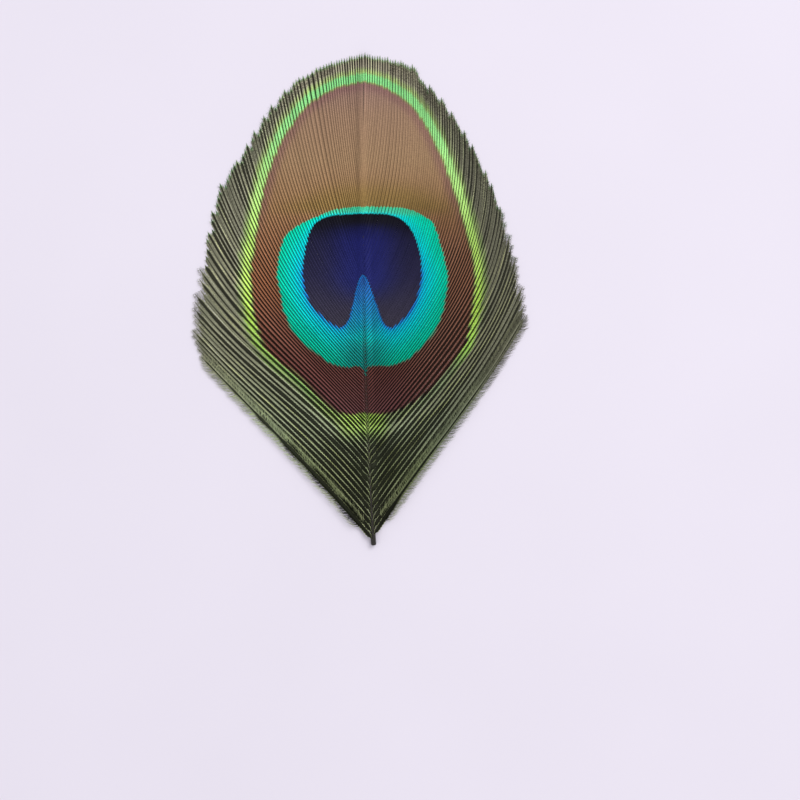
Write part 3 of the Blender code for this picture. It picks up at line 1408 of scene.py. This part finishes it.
def add(tree: bpy.types.NodeTree, kind: str, sources: dict, out: int | str,
        stops: list[tuple[float, tuple]] | None = None, **settings: object) -> bpy.types.NodeSocket:
    """Adds a node with its settings, values, links and colour stops.

    Args:
        tree: Where the node goes.
        kind: The node's type.
        sources: A value or another node's socket for each named or numbered input.
        out: The output to return.
        stops: Places from 0 to 1 with their colours, for a node that holds a ramp.
        settings: The node's own settings.

    Returns:
        The output socket.
    """
    node = tree.nodes.new(kind)
    for name, value in settings.items():
        setattr(node, name, value)
    for key, source in sources.items():
        if isinstance(source, bpy.types.NodeSocket):
            tree.links.new(source, node.inputs[key])
        else:
            node.inputs[key].default_value = source
    ready = 2  # A new ramp has two stops.
    for i, (place, colour) in enumerate(stops or []):
        element = node.color_ramp.elements[i] if i < ready else node.color_ramp.elements.new(place)
        element.position = place
        element.color = colour
    return node.outputs[out]


# The colours that the barbs wear, from the margin inwards and then those over all zones. A stop is at a
# height, except in the teal disc, where it is a share of the way from the disc's edge to the heart.
BARB_LAYERS = (
    # Olive margin, greener at the barbs' tips, with a yellow-green glow beside the rim.
    Layer("fringe", ((0, "A8AC84"), (12, "A4B080"), (20, "AEBA94"), (32, "9C9E82"), (50, "94947C"),
                     (70, "908F78"), (84, "9A937E"))),
    Layer("edge", ((0, "7EB072"),), most=0.75),
    Layer("halo", ((0, "A2C46C"),), most=0.8),
    # Green rim: yellower low down, bluer at the crown.
    Layer("lime", ((16, "B0D480"), (22, "BCE468"), (27, "90D468"), (32, "A4D864"), (40, "C4EE66"),
                   (50, "C0EA70"), (62, "B4E884"), (70, "98E088"), (80, "84D684")), low=0.1, high=0.9),
    # Bronze field: red-brown low down, tan above, plum at its edge, an olive shade and a painted highlight.
    Layer("bronze_mm", ((22, "784E4E"), (30, "7C4C44"), (38, "8A5A46"), (45, "9E6848"), (52, "A07251"),
                        (58, "9C7853"), (66, "9C7E5E"), (74, "987A62"), (78, "927466"), (80, "8C6E68")),
          low=-0.1, high=0.5),
    Layer("plum", ((0, "7E5858"),), most=0.55),
    # Painted highlight on the right of the bronze.
    Layer("glint", ((0, "C09078"),), most=0.32),
    Layer("olive", ((0, "8E7440"),), most=0.8),
    # Teal disc, blue towards the heart, greener along its top, with deep blue in the wedge.
    Layer("disc_mm", ((0.0, "02DCAA"), (0.35, "02EACA"), (0.7, "02EAEA"), (0.93, "10D4F6"), (1.0, "2498F6")),
          low=-0.05, high=0.18, over="disc_share"),
    Layer("top_rim", ((0, "5CC48A"),), most=0.6),
    Layer("deep", ((29, "148480"), (35, "22A4A4"), (39, "28A6D0"), (43, "3488D0"), (46.5, "3058A8"))),
    # Heart: violet-black, with a blue glow.
    Layer("heart_mm", ((36, "47434D"), (40, "423E50"), (46, "302E4A"), (52, "252440"), (54.5, "181724"),
                       (57, "131218")), low=-0.02, high=0.25),
    Layer("glow", ((36, "2E3C74"), (46, "2B2F72"), (52, "24276A"), (54.5, "1C1E4C"), (57, "15151F"))),
    # Painted shade on the right of the margin, a painted highlight on some barbs' edges, and the brown back.
    # Painted shade on the right of the margin.
    Layer("dull", ((0, "1A130C"),), most=0.32),
    # Painted highlight: pale edges on some barbs of the margin.
    Layer("edge_share", ((0, "9CA874"), (24, "B8C078"), (46, "D2D296"), (70, "C4CC98")), low=0.62, high=0.95,
          strength="paleness", most=0.85),
    Layer("under", ((0, "4B4338"),), low=0.4, high=0.6),
)

# Barbs of feather keratin, as grown. Rods of melanin under a thin clear skin colour them by interference, so
# they glow like metal but softly: partly metallic, with a broad highlight and almost no white in it. Barbules
# leave the ramus in rows about 0.05 mm apart, too fine to show, so the rows are drawn 0.3 mm apart. The
# mottle is as coarse, for the few neighbours that catch the light together.
BARBS = Finish("iridescent_barbs", "2A2B20", roughness=0.42, specular=0.06, mottle_mm=0.3, mottle=0.1,
               layers=BARB_LAYERS, metallic=0.25, seed_share=0.07, rows_mm=0.3, rows=0.1)

# The rachis is solid keratin with brown-black melanin, as grown: smooth like a fingernail, with a soft white
# highlight. The mottle is about its own width, 1 mm.
RACHIS = Finish("shaft_keratin", "24211A", roughness=0.4, specular=0.3, mottle_mm=1.2, mottle=0.2)

# Uncoated pressed card: its fibres scatter light evenly, so it has almost no highlight. They are too fine to
# show, and the mottle is only the slow cloudiness of the sheet, some 40 mm across.
CARD = Finish("matte_card", "E2DDE6", roughness=0.9, specular=0.2, mottle_mm=40.0, mottle=0.01)


# ---- Pieces ----


@dataclass
class Plumage:
    """All that covers one vane: its close barbs, its loose barbs and the free barbules of both.

    Attributes:
        vane: The side.
        markings: The colour zones.
        finish: What every fibre is made of.
        lines: All the barbs of the side.
        zones: Values along them.
        close: How many of them are close, from the crown down.
        close_form: Cover, taper and tooth of the close barbs.
        loose_form: The same of the loose barbs.
        loose_start: Where free barbules start on loose barbs, by reach.
        fringe_depth: How far outside the bronze they start on close barbs, as a depth.
        fringe_below: Height of the highest root whose barb has them in the margin.
        fringe_pitch: How far apart those are.
        fringe_stop: How far short of the tip those stop.
    """

    vane: Vane
    markings: Markings
    finish: bpy.types.Material
    lines: BarbLines = field(init=False)
    zones: Values = field(init=False)
    close: int = field(init=False)
    close_form: tuple[float, float, float] = (1.08, 1.15, 0.06)
    loose_form: tuple[float, float, float] = (1.0, 2.6, 0.12)
    loose_start: float = 3.0
    fringe_depth: float = -2.6
    fringe_below: float = 50.0
    fringe_pitch: float = 0.27
    fringe_stop: float = 0.7

    def __post_init__(self) -> None:
        """Lays out the barbs and measures them."""
        self.lines = self.vane.lines()
        self.zones = self.markings.measure(self.lines)
        self.close = int((self.vane.roots() > self.vane.last_close_root).sum())

    def some(self, chosen: slice) -> tuple[BarbLines, Values]:
        """The lines and the values of some barbs."""
        return self.lines.some(chosen), {key: value[chosen] for key, value in self.zones.items()}

    def add_piece(self, kind: Fibres, bundle: FibreBundle, ending: str = "") -> None:
        """Puts fibres in the scene as a piece in place of the vane's solid.

        Args:
            kind: What the fibres are.
            bundle: The fibres.
            ending: The last part of the piece's name.
        """
        mesh = bundle.mesh(f"{kind.value}_{self.vane.word()}{ending}")
        mesh.materials.append(self.finish)
        piece = bpy.data.objects.new(mesh.name, mesh)
        bpy.context.scene.collection.objects.link(piece)
        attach(piece, "root")
        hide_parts("vane_" + self.vane.word())
        LOG.info("%s: %d faces", mesh.name, len(mesh.polygons))

    def fringe_starts(self) -> Array:
        """Where free barbules start on each close barb, by reach: at the tip where there are none.

        Returns:
            One distance from the root for each close barb.
        """
        roots = self.vane.roots()[: self.close, None]
        outside = (self.zones["bronze_mm"][: self.close] < self.fringe_depth) & (roots < self.fringe_below)
        reach = self.lines.reach[: self.close]
        return np.array([r[np.argmax(out)] if out.any() else r[-1] for r, out in zip(reach, outside)])

    def build(self) -> None:
        """Makes the pieces. Neighbouring close barbs go in two different ones, because their webs overlap."""
        close, loose = slice(self.close), slice(self.close, None)
        for number in (1, 2):
            chosen = slice(number - 1, self.close, 2)
            barbs = Barbs(self.vane, *self.some(chosen), *self.close_form)
            self.add_piece(Fibres.EYE_BARBS, barbs.bundle(), f"_{number}")
        barbs = Barbs(self.vane, *self.some(loose), *self.loose_form)
        self.add_piece(Fibres.LOOSE_BARBS, barbs.bundle())
        starts = np.full(len(self.lines.seed) - self.close, self.loose_start)
        free = Barbules(self.vane, *self.some(loose), starts, self.vane.seed + 3, open_barbs=1)
        self.add_piece(Fibres.LOOSE_BARBULES, free.bundle())
        free = Barbules(self.vane, *self.some(close), self.fringe_starts(), self.vane.seed + 5,
                        pitch=self.fringe_pitch, stop=self.fringe_stop)
        self.add_piece(Fibres.FRINGE_BARBULES, free.bundle())


@dataclass(frozen=True)
class Lamp:
    """A square lamp that points at the feather. Sizes and places are in metres, power in watts."""

    name: str
    place: tuple[float, float, float]
    size: float
    power: float

    def build(self) -> None:
        """Puts the lamp in the scene."""
        lamp = bpy.data.lights.new(self.name, "AREA")
        lamp.size, lamp.energy = self.size, self.power
        light = bpy.data.objects.new(self.name, lamp)
        light.location = self.place
        light.rotation_euler = Vector(self.place).to_track_quat("Z", "Y").to_euler()
        bpy.context.scene.collection.objects.link(light)


@dataclass
class Studio:
    """The pale board, the soft light and the camera that looks straight down. Lengths are in metres.

    Attributes:
        board_half: Half the board's width.
        room: The room's colour, as sRGB hex.
        room_strength: How strongly the room lights the feather.
        lamps: The lamps.
        lens_mm: The camera's lens.
        sensor_mm: Its sensor.
        seen: Width that it sees on the board.
        aim: The x and y that it looks at.
    """

    board_half: float = 0.6
    room: str = "F4F2FA"
    room_strength: float = 0.7
    lamps: tuple[Lamp, ...] = (
        Lamp("window", (0.5, 0.45, 0.8), 0.7, 6.5),
        Lamp("fill", (-0.6, -0.4, 0.9), 0.9, 1.6),
    )
    lens_mm: float = 100.0
    sensor_mm: float = 36.0
    seen: float = 0.1376
    aim: tuple[float, float] = (0.00674, -0.0172)

    def lay_board(self) -> None:
        """Lays the board on the surface that the feather lies on."""
        half = self.board_half
        board = bpy.data.meshes.new("board")
        corners = [(-half, -half, 0), (half, -half, 0), (half, half, 0), (-half, half, 0)]
        board.from_pydata(corners, [], [(0, 1, 2, 3)])
        board.materials.append(CARD.build())
        floor = bpy.data.objects.new("board", board)
        bpy.context.scene.collection.objects.link(floor)

    def build(self) -> None:
        """Makes the board, the light and the camera."""
        scene = bpy.context.scene
        scene.view_settings.view_transform = "Standard"
        self.lay_board()
        world = bpy.data.worlds.new("room")
        world.use_nodes = True
        room = world.node_tree.nodes["Background"].inputs
        room["Color"].default_value = linear(self.room)
        room["Strength"].default_value = self.room_strength
        scene.world = world
        for lamp in self.lamps:
            lamp.build()
        camera = bpy.data.cameras.new("camera")
        camera.lens, camera.sensor_width = self.lens_mm, self.sensor_mm
        eye = bpy.data.objects.new("camera", camera)
        eye.location = (*self.aim, self.seen * self.lens_mm / self.sensor_mm)
        scene.collection.objects.link(eye)
        scene.camera = eye


# Guide barbs from the crown down to the cut end, as Vane says.
LEFT_GUIDES = (
    (66.0, 0.27, 84.2, 3, 1), (49.7, 5.3, 82.9, 15, 6), (43.5, 11.3, 80.2, 29, 11),
    (37.3, 16.2, 75.5, 39, 11), (31.1, 20.6, 68.6, 44, 14), (24.9, 25.2, 61.2, 45, 21),
    (18.7, 27.6, 50.7, 41, 30), (12.6, 29.2, 43.0, 38, 37), (6.4, 29.7, 37.8, 38, 41),
    (0.9, 28.9, 33.3, 40, 43),
)
RIGHT_GUIDES = (
    (66.0, 0.27, 84.3, 3, -1), (49.7, 4.7, 83.4, 18, 0), (43.5, 7.8, 82.4, 34, -2),
    (37.3, 11.1, 80.0, 40, -3), (31.1, 15.4, 74.5, 42, -4), (24.9, 19.9, 66.9, 41, -2),
    (18.7, 23.3, 59.3, 38, 3), (12.6, 25.6, 52.1, 35, 10), (6.4, 27.2, 45.9, 33, 20),
    (0.9, 28.8, 39.7, 33, 30),
)


def main() -> None:
    """Builds the feather and its studio."""
    logging.basicConfig(level=logging.INFO, format="%(message)s")
    shaft = Shaft()
    barbs, rachis = BARBS.build(), RACHIS.build()
    shaft.dress(rachis)
    left = Vane(Side.LEFT, LEFT_GUIDES, 11, shaft)
    right = Vane(Side.RIGHT, RIGHT_GUIDES, 29, shaft, notch_root=40.3)
    for vane in (left, right):
        Plumage(vane, Markings(), barbs).build()
    Studio().build()


if __name__ == "__main__":
    main()
